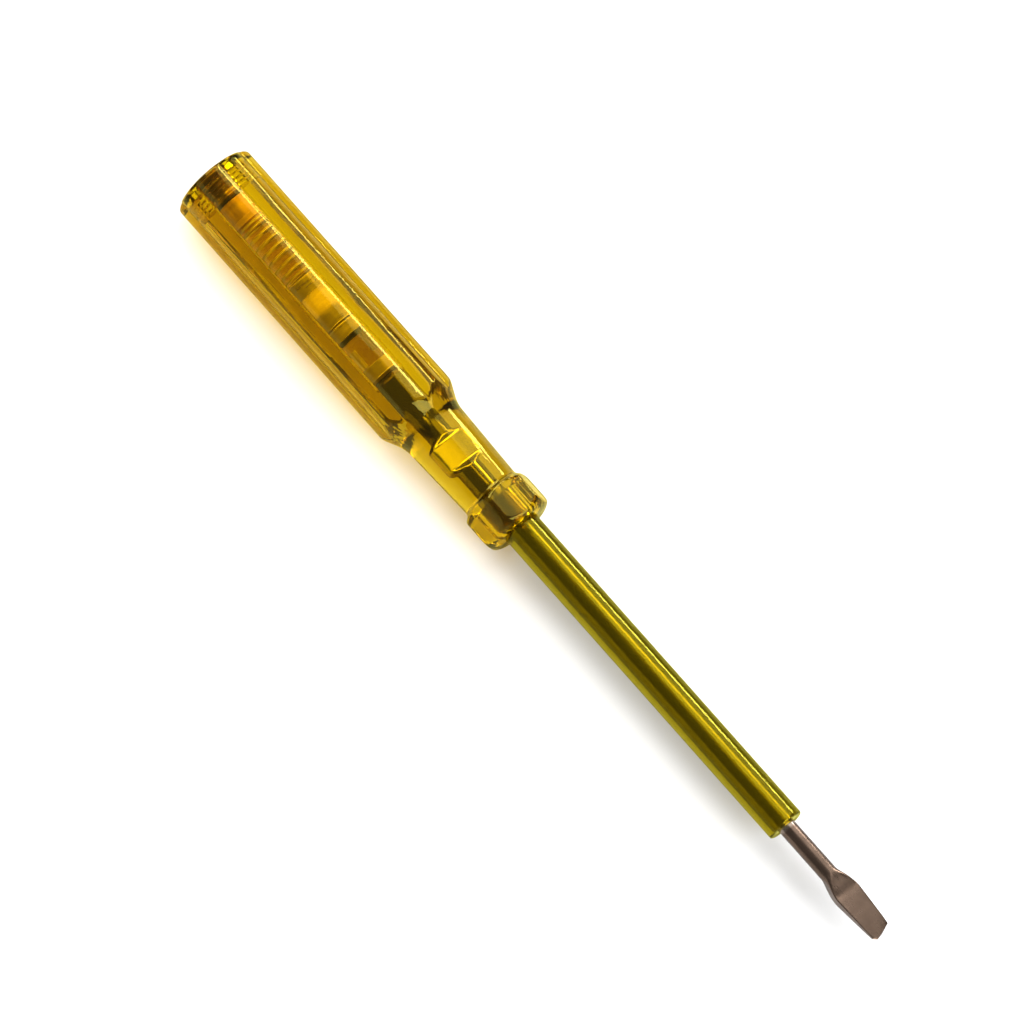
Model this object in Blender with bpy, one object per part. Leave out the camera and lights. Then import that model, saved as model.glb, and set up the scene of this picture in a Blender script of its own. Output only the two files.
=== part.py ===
"""Voltage tester screwdriver, lying on its side with its tip along +X.

A clear handle holds a neon lamp, a series resistor and a spring in one bore, between the blade's
rear end and a contact under the thumb. Lengths are in metres. Every piece is modelled along the
tool's axis, measured from the rear face of the handle, and hangs on an empty that sets it down on
the ground plane with the origin under the middle of the tool.
"""
import math

import bmesh
import bpy
import numpy as np
from mathutils import Vector

# Fits
seat_gap = 0.0003            # between two pieces that press on each other end to end
slide_gap = 0.0002           # around a piece that fits in a bore
overrun = 0.0010             # how far every cut runs past the material
turned_segments = 48
cell_segments = 32           # pieces that lie in the handle's bore
wire_segments = 16
smooth_angle = math.radians(35)

# Handle, from the rear face to the front of the collar
grip_length = 0.0576
shoulder_length = 0.0070
neck_length = 0.0157
collar_length = 0.0085
grip_radius = 0.0085         # over the crests of the lobes
lobe_radius = 0.0036
lobe_count = 8
rear_edge_round = 0.0010
neck_rear_radius = 0.0064
neck_front_radius = 0.0059
collar_across_flats = 0.0134
collar_side_count = 6
collar_corner_radius = 0.0076
collar_rear_bevel = 0.0015
collar_front_bevel = 0.0024
collar_lip_wall = 0.0008
outline_segments = 96        # shared by the lobes and the collar's sides
round_steps = 4
shoulder_steps = 7
cell_bore_radius = 0.0034

# End plug and touch stud
plug_length = 0.0053
plug_head_radius = 0.0052
plug_head_length = 0.0016
plug_head_bevel = 0.0003
thread_core_radius = 0.0036
thread_depth = 0.0004
thread_pitch = 0.0010
thread_root_width = 0.0004
thread_crest_width = 0.0002
thread_relief = 0.0005       # plain stretch at each end of the plug's thread
thread_turn_points = 24
stud_head_radius = 0.0026
stud_head_length = 0.0008
stud_radius = 0.0016
stud_proud = 0.0005          # how far the stud stands out of the plug, towards the slug
stud_slot_width = 0.0008
stud_slot_depth = 0.0005

# Contact slug and spring
slug_length = 0.0053
slug_radius = 0.0020
slug_flange_radius = 0.0028
slug_flange_length = 0.0011
slug_spigot_radius = 0.0018
slug_spigot_length = 0.0008
slug_edge = 0.0002
spring_length = 0.0143
spring_coil_radius = 0.00252
spring_wire_radius = 0.00025
spring_turns = 8
spring_turn_points = 10

# Series resistor
resistor_length = 0.0112
resistor_body_radius = 0.0020
resistor_cap_radius = 0.0025
resistor_cap_length = 0.0034
cap_end_wall = 0.0005
cap_edge = 0.0003

# Neon lamp
lamp_length = 0.0126
lamp_glass_radius = 0.0022
lamp_glass_wall = 0.0004
lamp_glass_round = 0.0008
lamp_cap_radius = 0.0026
lamp_cap_length = 0.0027
electrode_radius = 0.0004
electrode_offset = 0.00075
electrode_length = 0.0052
electrode_inset = 0.0012     # from the glass's inner end to the electrode
lead_radius = 0.0002

# Blade and its sleeve
shaft_radius = 0.00175
shank_proud = 0.0014         # how far the blade's rear end stands into the bore
shank_edge = 0.0003
wings_setback = 0.0103       # from the collar's rear edge back to the middle of the wings
wings_length = 0.0080
wings_ramp = 0.0015
wings_width = 0.0058
wings_thickness = 0.0020
blade_free_length = 0.0270   # from the sleeve's front to the tip
tip_length = 0.0099
tip_width = 0.0042
tip_thickness = 0.0007
flare_length = 0.0054
flare_width = 0.0054
flare_thickness = 0.0020
flare_steps = 6
blade_segments = 24
sleeve_free_length = 0.0742  # from the collar's front to the sleeve's front
sleeve_seat_length = 0.0068  # how far the sleeve reaches into the handle
sleeve_radius = 0.0037
sleeve_wall = 0.00165
sleeve_edge = 0.0004

# Places along the axis that follow from the sizes
shoulder_x = grip_length
neck_x = shoulder_x + shoulder_length
collar_x = neck_x + neck_length
handle_length = collar_x + collar_length
sleeve_end_x = handle_length + sleeve_free_length
tip_x = sleeve_end_x + blade_free_length
slug_x = plug_length + stud_proud + seat_gap
spring_x = slug_x + slug_length + seat_gap
resistor_x = spring_x + spring_length + seat_gap
lamp_x = resistor_x + resistor_length + seat_gap
shank_x = lamp_x + lamp_length + seat_gap
bore_floor_x = shank_x + shank_proud
sleeve_x = handle_length - sleeve_seat_length


def clear_scene():
    for item in list(bpy.data.objects):
        bpy.data.objects.remove(item, do_unlink=True)


def make_empty(name, parent, place):
    empty = bpy.data.objects.new(name, None)
    empty.location = place
    empty.parent = parent
    bpy.context.collection.objects.link(empty)
    return empty


def make_finish(name, colour, roughness, metallic):
    finish = bpy.data.materials.new(name)
    finish.use_nodes = True
    shader = finish.node_tree.nodes["Principled BSDF"]
    shader.inputs["Base Color"].default_value = (*colour, 1)
    shader.inputs["Roughness"].default_value = roughness
    shader.inputs["Metallic"].default_value = metallic
    return finish


def amber_plastic(name):
    return make_finish(name, (0.58, 0.30, 0.01), 0.12, 0)


def yellow_plastic(name):
    return make_finish(name, (0.52, 0.41, 0.01), 0.18, 0)


def tool_steel(name):
    return make_finish(name, (0.22, 0.17, 0.14), 0.45, 1)


def nickel_plate(name):
    return make_finish(name, (0.60, 0.56, 0.48), 0.22, 1)


def brass(name):
    return make_finish(name, (0.66, 0.48, 0.18), 0.28, 1)


def spring_steel(name):
    return make_finish(name, (0.36, 0.33, 0.28), 0.32, 1)


def pale_ceramic(name):
    return make_finish(name, (0.66, 0.60, 0.46), 0.55, 0)


def lamp_clear_glass(name):
    return make_finish(name, (0.80, 0.78, 0.72), 0.06, 0)


def add_object(name, data, parent, finish):
    if finish:
        data.materials.append(finish)
    item = bpy.data.objects.new(name, data)
    item.parent = parent
    bpy.context.collection.objects.link(item)
    return item


def ring_mesh(name, rings, is_loop=False):
    """Skins rings of points. A ring of one point is a pole; open ends are capped flat."""
    shape = bmesh.new()
    rows = [[shape.verts.new(point) for point in ring] for ring in rings]
    pairs = list(zip(rows, rows[1:]))
    if is_loop:
        pairs.append((rows[-1], rows[0]))
    for first, second in pairs:
        count = max(len(first), len(second))
        for step in range(count):
            after = (step + 1) % count
            corners = [first[step % len(first)], first[after % len(first)]]
            corners += [second[after % len(second)], second[step % len(second)]]
            shape.faces.new(list(dict.fromkeys(corners)))
    if not is_loop:
        for row in (rows[0], rows[-1]):
            if len(row) > 1:
                shape.faces.new(row)
    bmesh.ops.recalc_face_normals(shape, faces=shape.faces)
    mesh = bpy.data.meshes.new(name)
    shape.to_mesh(mesh)
    shape.free()
    mesh.shade_smooth()
    mesh.set_sharp_from_angle(angle=smooth_angle)
    return mesh


def ring_angles(count):
    return [math.tau * step / count for step in range(count)]


def turned_mesh(name, profile, segments, is_loop=False, offset=0):
    """Turns (place along the axis, radius) points about the tool's axis, or one moved along Y."""
    rings = []
    for along, radius in profile:
        angles = ring_angles(segments) if radius > 0 else [0]
        rings.append([
            (along, offset + radius * math.cos(angle), radius * math.sin(angle)) for angle in angles
        ])
    return ring_mesh(name, rings, is_loop)


def turned_rod(name, start, end, radius, edge, segments, offset=0):
    profile = [(start, radius - edge), (start + edge, radius), (end - edge, radius), (end, radius - edge)]
    if not edge:
        profile = [(start, radius), (end, radius)]
    return turned_mesh(name, profile, segments, offset=offset)


def make_cutter(name, mesh, parent):
    cutter = add_object(name, mesh, parent, None)
    cutter.hide_render = True
    cutter.display_type = "WIRE"
    return cutter


def combine(target, other, operation):
    change = target.modifiers.new(other.name, "BOOLEAN")
    change.operation = operation
    change.solver = "EXACT"
    change.object = other


def lobe_outline(angle):
    """Distance to the lobed outline, where a valley lies straight below the axis."""
    pitch = math.tau / lobe_count
    off_crest = (angle + math.pi / 2) % pitch - pitch / 2
    centre_radius = grip_radius - lobe_radius
    across = centre_radius * math.sin(off_crest)
    return centre_radius * math.cos(off_crest) + math.sqrt(lobe_radius ** 2 - across ** 2)


def collar_outline(angle):
    """Distance to the six-sided outline, which has a flat straight below the axis."""
    pitch = math.tau / collar_side_count
    off_flat = (angle + math.pi / 2 + pitch / 2) % pitch - pitch / 2
    return collar_across_flats / 2 / math.cos(off_flat)


def ease(share):
    return (1 - math.cos(math.pi * share)) / 2


def handle_stations():
    """Gives (place along the axis, largest radius there, outline that also limits it)."""
    stations = []
    for step in range(round_steps + 1):
        turn = math.pi / 2 * step / round_steps
        along = rear_edge_round * (1 - math.sin(turn))
        stations.insert(0, (along, grip_radius - rear_edge_round * (1 - math.cos(turn)), lobe_outline))
    for step in range(shoulder_steps + 1):
        share = step / shoulder_steps
        radius = grip_radius + (neck_rear_radius - grip_radius) * ease(share)
        stations.append((shoulder_x + shoulder_length * share, radius, lobe_outline))
    stations.append((collar_x, neck_front_radius, collar_outline))
    stations.append((collar_x + collar_rear_bevel, collar_corner_radius, collar_outline))
    lip_radius = sleeve_radius + slide_gap + collar_lip_wall
    for step in range(round_steps + 1):
        turn = math.pi / 2 * step / round_steps
        along = handle_length - collar_front_bevel * (1 - math.sin(turn))
        radius = lip_radius + (collar_corner_radius - lip_radius) * math.cos(turn)
        stations.append((along, radius, collar_outline))
    return stations


def handle_mesh():
    rings = []
    for along, limit, outline in handle_stations():
        ring = []
        for angle in ring_angles(outline_segments):
            radius = min(limit, outline(angle))
            ring.append((along, radius * math.cos(angle), radius * math.sin(angle)))
        rings.append(ring)
    return ring_mesh("handle", rings)


def axis_height():
    """Height at which the lobed grip just touches the ground."""
    lows = [lobe_outline(angle) * math.sin(angle) for angle in ring_angles(outline_segments)]
    return -min(lows)


def helical_ridge(name, gap, start, end):
    """One turned-up ridge of the right-hand thread, grown by a gap on every side."""
    root = thread_core_radius - thread_depth
    crest = thread_core_radius + thread_depth + gap
    root_half = thread_root_width / 2 + gap
    crest_half = thread_crest_width / 2 + gap
    turns = (end - start) / thread_pitch
    count = max(round(turns * thread_turn_points), 1)
    rings = []
    for step in range(count + 1):
        along = start + (end - start) * step / count
        angle = math.tau * along / thread_pitch
        ring = []
        for shift, radius in ((-root_half, root), (-crest_half, crest), (crest_half, crest), (root_half, root)):
            ring.append((along + shift, radius * math.cos(angle), radius * math.sin(angle)))
        rings.append(ring)
    return ring_mesh(name, rings)


def wings_x():
    return collar_x - wings_setback


def blade_stations():
    """Gives (place, half width, half thickness, share of squareness) of the blade's sections."""
    wings_start = wings_x() - wings_length / 2
    wings_end = wings_x() + wings_length / 2
    half_width = wings_width / 2
    half_thickness = wings_thickness / 2
    stations = [
        (shank_x, shaft_radius - shank_edge, shaft_radius - shank_edge, 0),
        (shank_x + shank_edge, shaft_radius, shaft_radius, 0),
        (wings_start, shaft_radius, shaft_radius, 0),
        (wings_start + wings_ramp, half_width, half_thickness, 1),
        (wings_end - wings_ramp, half_width, half_thickness, 1),
        (wings_end, shaft_radius, shaft_radius, 0),
    ]
    flare_x = tip_x - tip_length - flare_length
    for step in range(flare_steps + 1):
        share = step / flare_steps
        half = shaft_radius + (flare_width / 2 - shaft_radius) * ease(share)
        thin = shaft_radius + (flare_thickness / 2 - shaft_radius) * ease(share)
        stations.append((flare_x + flare_length * share, half, thin, ease(share)))
    stations.append((tip_x, tip_width / 2, tip_thickness / 2, 1))
    return stations


def blade_mesh(name, stations, grow):
    rings = []
    for along, half_width, half_thickness, square_share in stations:
        ring = []
        for angle in ring_angles(blade_segments):
            across, up = math.cos(angle), math.sin(angle)
            stretch = 1 - square_share + square_share / max(abs(across), abs(up))
            ring.append((along, (half_width + grow) * across * stretch, (half_thickness + grow) * up * stretch))
        rings.append(ring)
    return ring_mesh(name, rings)


def make_handle(parent):
    handle = add_object("handle", handle_mesh(), parent, amber_plastic("amber_handle"))
    head_bore = plug_head_radius + slide_gap
    thread_bore = thread_core_radius + slide_gap
    head_floor = plug_head_length + slide_gap
    thread_end = plug_length + slide_gap
    sleeve_bore = sleeve_radius + slide_gap
    sleeve_floor = sleeve_x - seat_gap
    cell_bores = turned_mesh("cell_bores", [
        (-overrun, 0), (-overrun, head_bore), (head_floor, head_bore), (head_floor, thread_bore),
        (thread_end, thread_bore), (thread_end, cell_bore_radius), (bore_floor_x, cell_bore_radius),
        (bore_floor_x, 0),
    ], turned_segments)
    sleeve_bores = turned_rod(
        "sleeve_bores", sleeve_floor, handle_length + overrun, sleeve_bore, 0, turned_segments
    )
    female_thread = helical_ridge("female_thread", slide_gap, 0, plug_length)
    inside = [
        station for station in blade_stations() if bore_floor_x < station[0] < sleeve_floor
    ]
    ends = [(place, shaft_radius, shaft_radius, 0) for place in (bore_floor_x - overrun, sleeve_floor + overrun)]
    shank_bore = blade_mesh("shank_bore", [ends[0], *inside, ends[1]], slide_gap)
    for name, mesh in (
        ("cell_bores", cell_bores), ("female_thread", female_thread),
        ("shank_bore", shank_bore), ("sleeve_bores", sleeve_bores),
    ):
        combine(handle, make_cutter(name, mesh, parent), "DIFFERENCE")


def make_end_plug(parent):
    stud_hole = stud_radius + slide_gap
    pocket = stud_head_radius + slide_gap
    pocket_depth = stud_head_length + slide_gap
    mesh = turned_mesh("end_plug", [
        (0, pocket), (0, plug_head_radius - plug_head_bevel), (plug_head_bevel, plug_head_radius),
        (plug_head_length, plug_head_radius), (plug_head_length, thread_core_radius),
        (plug_length, thread_core_radius), (plug_length, stud_hole), (pocket_depth, stud_hole),
        (pocket_depth, pocket),
    ], turned_segments, is_loop=True)
    plug = add_object("end_plug", mesh, parent, amber_plastic("amber_plug"))
    start = plug_head_length + thread_relief
    male_thread = helical_ridge("male_thread", 0, start, plug_length - thread_relief)
    combine(plug, make_cutter("male_thread", male_thread, parent), "UNION")


def make_touch_stud(parent):
    mesh = turned_mesh("touch_stud", [
        (0, 0), (0, stud_head_radius), (stud_head_length, stud_head_radius),
        (stud_head_length, stud_radius), (plug_length + stud_proud, stud_radius),
        (plug_length + stud_proud, 0),
    ], turned_segments)
    stud = add_object("touch_stud", mesh, parent, nickel_plate("nickel_stud"))
    half = stud_head_radius + overrun
    slot = []
    for along in (-overrun, stud_slot_depth):
        slot.append([
            (along, side * half, rise * stud_slot_width / 2)
            for side, rise in ((-1, -1), (1, -1), (1, 1), (-1, 1))
        ])
    combine(stud, make_cutter("stud_slot", ring_mesh("stud_slot", slot), parent), "DIFFERENCE")


def make_contact_slug(parent):
    front = slug_x + slug_length
    mesh = turned_mesh("contact_slug", [
        (slug_x, 0), (slug_x, slug_radius - slug_edge), (slug_x + slug_edge, slug_radius),
        (front - slug_flange_length, slug_radius), (front - slug_flange_length, slug_flange_radius),
        (front, slug_flange_radius), (front, slug_spigot_radius),
        (front + slug_spigot_length, slug_spigot_radius - slug_edge), (front + slug_spigot_length, 0),
    ], cell_segments)
    add_object("contact_slug", mesh, parent, brass("brass_slug"))


def spring_points():
    """Centre line of the spring: a straight end, even coils, and a straight end."""
    leg = 2 * spring_wire_radius
    count = spring_turns * spring_turn_points
    start = spring_x + leg
    coil_length = spring_length - 2 * leg
    points = []
    for step in range(count + 1):
        angle = math.tau * step / spring_turn_points
        along = start + coil_length * step / count
        points.append((along, spring_coil_radius * math.cos(angle), spring_coil_radius * math.sin(angle)))
    first = (spring_x, *points[0][1:])
    last = (spring_x + spring_length, *points[-1][1:])
    return [first, *points, last]


def spring_gap(points):
    """Least gap between one coil's wire and the next, measured on the centre line's points."""
    line = np.array(points)
    runs = np.linalg.norm(np.diff(line, axis=0), axis=1)
    places = np.concatenate([[0], np.cumsum(runs)])
    apart = np.linalg.norm(line[:, None] - line[None, :], axis=2)
    far_along = np.abs(places[:, None] - places[None, :]) > math.pi * spring_coil_radius
    return float(apart[far_along].min()) - 2 * spring_wire_radius


def make_contact_spring(parent):
    points = spring_points()
    wire = bpy.data.curves.new("contact_spring", "CURVE")
    wire.dimensions = "3D"
    wire.bevel_depth = spring_wire_radius
    wire.bevel_resolution = 1
    wire.use_fill_caps = True
    line = wire.splines.new("POLY")
    line.points.add(len(points) - 1)
    for knot, point in zip(line.points, points):
        knot.co = (*point, 1)
    add_object("contact_spring", wire, parent, spring_steel("steel_spring"))
    print(f"contact_spring, least gap between coils: {spring_gap(points) * 1000:.2f} mm")


def end_cap_mesh(name, closed_x, facing, length, radius, body_radius):
    """Cup with its closed end at closed_x, open towards facing, which is 1 or -1."""
    bore = body_radius + slide_gap
    return turned_mesh(name, [
        (closed_x, 0), (closed_x, radius - cap_edge), (closed_x + facing * cap_edge, radius),
        (closed_x + facing * length, radius), (closed_x + facing * length, bore),
        (closed_x + facing * cap_end_wall, bore), (closed_x + facing * cap_end_wall, 0),
    ], cell_segments)


def make_resistor(parent):
    end = resistor_x + resistor_length
    rear = end_cap_mesh(
        "resistor_cap_rear", resistor_x, 1, resistor_cap_length, resistor_cap_radius, resistor_body_radius
    )
    front = end_cap_mesh(
        "resistor_cap_front", end, -1, resistor_cap_length, resistor_cap_radius, resistor_body_radius
    )
    inset = cap_end_wall + slide_gap
    body = turned_rod(
        "resistor_body", resistor_x + inset, end - inset, resistor_body_radius, cap_edge, cell_segments
    )
    add_object("resistor_cap_rear", rear, parent, nickel_plate("nickel_resistor_cap_rear"))
    add_object("resistor_cap_front", front, parent, nickel_plate("nickel_resistor_cap_front"))
    add_object("resistor_body", body, parent, pale_ceramic("ceramic_resistor"))


def lamp_glass_mesh(start, end):
    """Thin-walled tube with drawn-in ends, open round the leads."""
    hole = electrode_offset + lead_radius + slide_gap
    quarter = [math.pi / 2 * step / round_steps for step in range(round_steps + 1)]

    def drawn_in(place, facing, radius, bend):
        return [
            (place + facing * bend * (1 - math.sin(turn)), radius - bend * (1 - math.cos(turn)))
            for turn in reversed(quarter)
        ]

    inner_radius = lamp_glass_radius - lamp_glass_wall
    inner_round = lamp_glass_round - lamp_glass_wall
    outside = [(start, hole), *drawn_in(start, 1, lamp_glass_radius, lamp_glass_round)]
    outside += [*reversed(drawn_in(end, -1, lamp_glass_radius, lamp_glass_round)), (end, hole)]
    inner_start = start + lamp_glass_wall
    inner_end = end - lamp_glass_wall
    inside = [(inner_end, hole), *drawn_in(inner_end, -1, inner_radius, inner_round)]
    inside += [*reversed(drawn_in(inner_start, 1, inner_radius, inner_round)), (inner_start, hole)]
    return turned_mesh("lamp_glass", outside + inside, cell_segments, is_loop=True)


def make_lamp(parent):
    end = lamp_x + lamp_length
    inset = cap_end_wall + slide_gap
    glass = lamp_glass_mesh(lamp_x + inset, end - inset)
    add_object("lamp_glass", glass, parent, lamp_clear_glass("clear_lamp_glass"))
    reach = inset + lamp_glass_wall + electrode_inset
    for side, closed_x, facing in (("rear", lamp_x, 1), ("front", end, -1)):
        cap_name = "lamp_cap_" + side
        cap = end_cap_mesh(cap_name, closed_x, facing, lamp_cap_length, lamp_cap_radius, lamp_glass_radius)
        add_object(cap_name, cap, parent, nickel_plate("nickel_" + cap_name))
        offset = facing * electrode_offset
        lead_ends = sorted((closed_x + facing * inset, closed_x + facing * (reach - seat_gap)))
        rod_ends = sorted((closed_x + facing * reach, closed_x + facing * (reach + electrode_length)))
        lead_name = "lamp_lead_" + side
        rod_name = "lamp_electrode_" + side
        lead = turned_rod(lead_name, *lead_ends, lead_radius, 0, wire_segments, offset)
        rod = turned_rod(rod_name, *rod_ends, electrode_radius, 0, wire_segments, offset)
        add_object(lead_name, lead, parent, nickel_plate("nickel_" + lead_name))
        add_object(rod_name, rod, parent, nickel_plate("nickel_" + rod_name))


def make_blade(parent):
    add_object("blade", blade_mesh("blade", blade_stations(), 0), parent, tool_steel("steel_blade"))


def make_blade_sleeve(parent):
    bore = sleeve_radius - sleeve_wall
    mesh = turned_mesh("blade_sleeve", [
        (sleeve_x, bore), (sleeve_x, sleeve_radius), (sleeve_end_x - sleeve_edge, sleeve_radius),
        (sleeve_end_x, sleeve_radius - sleeve_edge), (sleeve_end_x, bore),
    ], turned_segments, is_loop=True)
    add_object("blade_sleeve", mesh, parent, yellow_plastic("yellow_sleeve"))


def main():
    clear_scene()
    tool_axis = make_empty("tool_axis", None, Vector((-tip_x / 2, 0, axis_height())))
    slug_slide = make_empty("slug_slide", tool_axis, Vector())
    plug_turn = make_empty("plug_turn", slug_slide, Vector())
    make_handle(tool_axis)
    make_end_plug(plug_turn)
    make_touch_stud(plug_turn)
    make_contact_slug(slug_slide)
    make_contact_spring(tool_axis)
    make_resistor(tool_axis)
    make_lamp(tool_axis)
    make_blade(tool_axis)
    make_blade_sleeve(tool_axis)
    bpy.context.view_layer.update()


main()
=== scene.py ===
import math

import bpy
from mathutils import Matrix, Vector


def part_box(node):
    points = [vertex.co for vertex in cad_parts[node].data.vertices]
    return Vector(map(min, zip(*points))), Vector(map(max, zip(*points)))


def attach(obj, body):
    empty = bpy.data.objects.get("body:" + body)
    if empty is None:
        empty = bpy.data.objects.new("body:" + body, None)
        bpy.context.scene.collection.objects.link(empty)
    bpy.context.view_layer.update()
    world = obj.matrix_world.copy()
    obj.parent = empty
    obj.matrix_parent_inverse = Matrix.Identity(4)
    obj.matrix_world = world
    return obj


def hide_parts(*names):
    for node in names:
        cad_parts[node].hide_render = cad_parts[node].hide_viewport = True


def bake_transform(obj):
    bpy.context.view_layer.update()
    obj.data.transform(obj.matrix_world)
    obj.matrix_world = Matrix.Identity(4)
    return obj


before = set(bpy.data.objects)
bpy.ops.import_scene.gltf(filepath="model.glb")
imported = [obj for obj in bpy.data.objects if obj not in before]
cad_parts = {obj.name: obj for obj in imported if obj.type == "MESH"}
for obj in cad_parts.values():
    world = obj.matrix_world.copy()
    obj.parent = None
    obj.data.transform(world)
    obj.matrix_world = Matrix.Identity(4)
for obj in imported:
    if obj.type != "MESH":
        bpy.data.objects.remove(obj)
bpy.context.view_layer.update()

print("frame loaded:", len(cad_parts), "nodes")

mm = 0.001
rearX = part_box("handle")[0].x                    # rear face of the handle
axisZ = (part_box("blade_sleeve")[0].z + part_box("blade_sleeve")[1].z) / 2
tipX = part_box("blade")[1].x
crispAngle = math.radians(35)                    # a cut's edges sharper than this stay crisp


# Small helpers for meshes

# First and last place of a node along the tool, in mm from the rear face
def spanOf(node):
    low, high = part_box(node)
    return (low.x - rearX) / mm, (high.x - rearX) / mm


# Largest distance of a node from the tool's axis, in mm
def reachOf(node):
    low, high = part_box(node)
    return (high.y - low.y) / 2 / mm


# Rounds the corners of an outline. A point is (along, radius) or (along, radius, rounding)
def roundCorners(points, isLoop=False, steps=5):
    count = len(points)
    sideShare, beside = 0.3, 1.5             # most of a side that a rounding takes, and the point beside it
    result = []
    for index, point in enumerate(points):
        corner = Vector(point[:2])
        rounding = point[2] if len(point) > 2 else 0
        isEnd = not isLoop and index in (0, count - 1)
        if isEnd or not rounding:
            result.append(corner)
            continue
        before = Vector(points[index - 1][:2]) - corner
        after = Vector(points[(index + 1) % count][:2]) - corner
        reach = min(rounding, sideShare * before.length, sideShare * after.length)
        start, end = corner + before.normalized() * reach, corner + after.normalized() * reach
        result.append(corner + before.normalized() * reach * beside)   # keeps the flat beside it flat
        for step in range(steps + 1):
            share = step / steps
            result.append(start.lerp(corner, share).lerp(corner.lerp(end, share), share))
        result.append(corner + after.normalized() * reach * beside)
    return result


# Joins rings of points, in mm from the rear face and the axis, into one closed mesh
def skinRings(name, rings, isLoop=False):
    verts, faces, starts = [], [], []
    for ring in rings:
        starts.append(len(verts))
        verts += [(rearX + x * mm, y * mm, axisZ + z * mm) for x, y, z in ring]
    sizes = [len(ring) for ring in rings]
    pairs = [(i, i + 1) for i in range(len(rings) - 1)]
    if isLoop:
        pairs.append((len(rings) - 1, 0))
    for first, second in pairs:
        count = max(sizes[first], sizes[second])
        for step in range(count):
            after = (step + 1) % count
            corners = [starts[first] + step % sizes[first], starts[first] + after % sizes[first],
                       starts[second] + after % sizes[second], starts[second] + step % sizes[second]]
            faces.append(list(dict.fromkeys(corners)))
    mesh = bpy.data.meshes.new(name)
    mesh.from_pydata(verts, [], faces)
    return faceOutwards(mesh)


# Turns a closed mesh the right way out by the sign of its volume, and shades it smooth
def faceOutwards(mesh):
    mesh.update()
    volume = 0
    for face in mesh.polygons:
        corners = [mesh.vertices[i].co for i in face.vertices]
        for second, third in zip(corners[1:], corners[2:]):
            volume += corners[0].dot(second.cross(third))
    if volume < 0:
        mesh.flip_normals()
    mesh.shade_smooth()
    return mesh


# Turns an outline of (along, radius) points about the axis, or about one moved along Y
def turned(name, outline, segments, isLoop=False, offset=0):
    rings = []
    for along, radius in outline:
        angles = [math.tau * step / segments for step in range(segments)] if radius > 1e-6 else [0]
        rings.append([(along, offset + radius * math.cos(a), radius * math.sin(a)) for a in angles])
    return skinRings(name, rings, isLoop)


# Takes the tool's volume out of a mesh and keeps the cut edges crisp
def cutAway(mesh, tool):
    block, knife = (bpy.data.objects.new("cutting", part) for part in (mesh, tool))
    for item in (block, knife):
        bpy.context.scene.collection.objects.link(item)
    modifier = block.modifiers.new("cut", "BOOLEAN")
    modifier.operation, modifier.solver, modifier.object = "DIFFERENCE", "EXACT", knife
    bpy.context.view_layer.update()
    result = bpy.data.meshes.new_from_object(block.evaluated_get(bpy.context.evaluated_depsgraph_get()))
    for item in (block, knife):
        bpy.data.objects.remove(item, do_unlink=True)
    result.shade_smooth()
    result.set_sharp_from_angle(angle=crispAngle)
    return result


def addPiece(name, mesh, material, body, slot, *replaced):
    piece = bpy.data.objects.new(name, mesh)
    bpy.context.scene.collection.objects.link(piece)
    piece.data.materials.clear()
    piece.data.materials.append(material)
    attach(piece, body)
    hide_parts(*replaced)


# Geometry Nodes helpers

def newTree(name, inputs):
    tree = bpy.data.node_groups.new(name, "GeometryNodeTree")
    tree.interface.new_socket("Geometry", in_out="INPUT", socket_type="NodeSocketGeometry")
    for label, kind, value in inputs:
        socket = tree.interface.new_socket(label, in_out="INPUT", socket_type="NodeSocket" + kind)
        if value is not None:
            socket.default_value = value
    tree.interface.new_socket("Geometry", in_out="OUTPUT", socket_type="NodeSocketGeometry")
    return tree, tree.nodes.new("NodeGroupInput"), tree.nodes.new("NodeGroupOutput")


def feed(tree, socket, value):
    if isinstance(value, bpy.types.NodeSocket):
        tree.links.new(value, socket)
    else:
        socket.default_value = value


def calc(tree, operation, *values):
    node = tree.nodes.new("ShaderNodeMath")
    node.operation = operation
    for socket, value in zip(node.inputs, values):
        feed(tree, socket, value)
    return node.outputs[0]


# Every tree ends in Realize Instances and Set Material
def finishTree(tree, geometry, material, groupOut):
    real = tree.nodes.new("GeometryNodeRealizeInstances")
    paint = tree.nodes.new("GeometryNodeSetMaterial")
    tree.links.new(geometry, real.inputs[0])
    tree.links.new(real.outputs[0], paint.inputs["Geometry"])
    tree.links.new(material, paint.inputs["Material"])
    tree.links.new(paint.outputs[0], groupOut.inputs[0])


# Runs a tree on a mesh and gives back the plain mesh that it makes
def runTree(mesh, tree, values):
    carrier = bpy.data.objects.new("carrier", mesh)
    bpy.context.scene.collection.objects.link(carrier)
    modifier = carrier.modifiers.new("shape", "NODES")
    modifier.node_group = tree
    for item in tree.interface.items_tree:
        if item.in_out == "INPUT" and item.name in values:
            modifier[item.identifier] = values[item.name]
    bpy.context.view_layer.update()
    graph = bpy.context.evaluated_depsgraph_get()
    result = bpy.data.meshes.new_from_object(carrier.evaluated_get(graph))
    carrier.modifiers.remove(modifier)
    bpy.data.objects.remove(carrier, do_unlink=True)
    result.shade_smooth()
    return result


# Position split into place along the axis, radius and angle, all in mm and radians
def polarOf(tree):
    place = tree.nodes.new("GeometryNodeInputPosition")
    parts = tree.nodes.new("ShaderNodeSeparateXYZ")
    tree.links.new(place.outputs[0], parts.inputs[0])
    along = calc(tree, "DIVIDE", calc(tree, "SUBTRACT", parts.outputs[0], rearX), mm)
    across = calc(tree, "DIVIDE", parts.outputs[1], mm)
    up = calc(tree, "DIVIDE", calc(tree, "SUBTRACT", parts.outputs[2], axisZ), mm)
    square = calc(tree, "ADD", calc(tree, "MULTIPLY", across, across), calc(tree, "MULTIPLY", up, up))
    radius = calc(tree, "MAXIMUM", calc(tree, "SQRT", square), 1e-4)
    return along, radius, calc(tree, "ARCTAN2", up, across)


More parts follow.
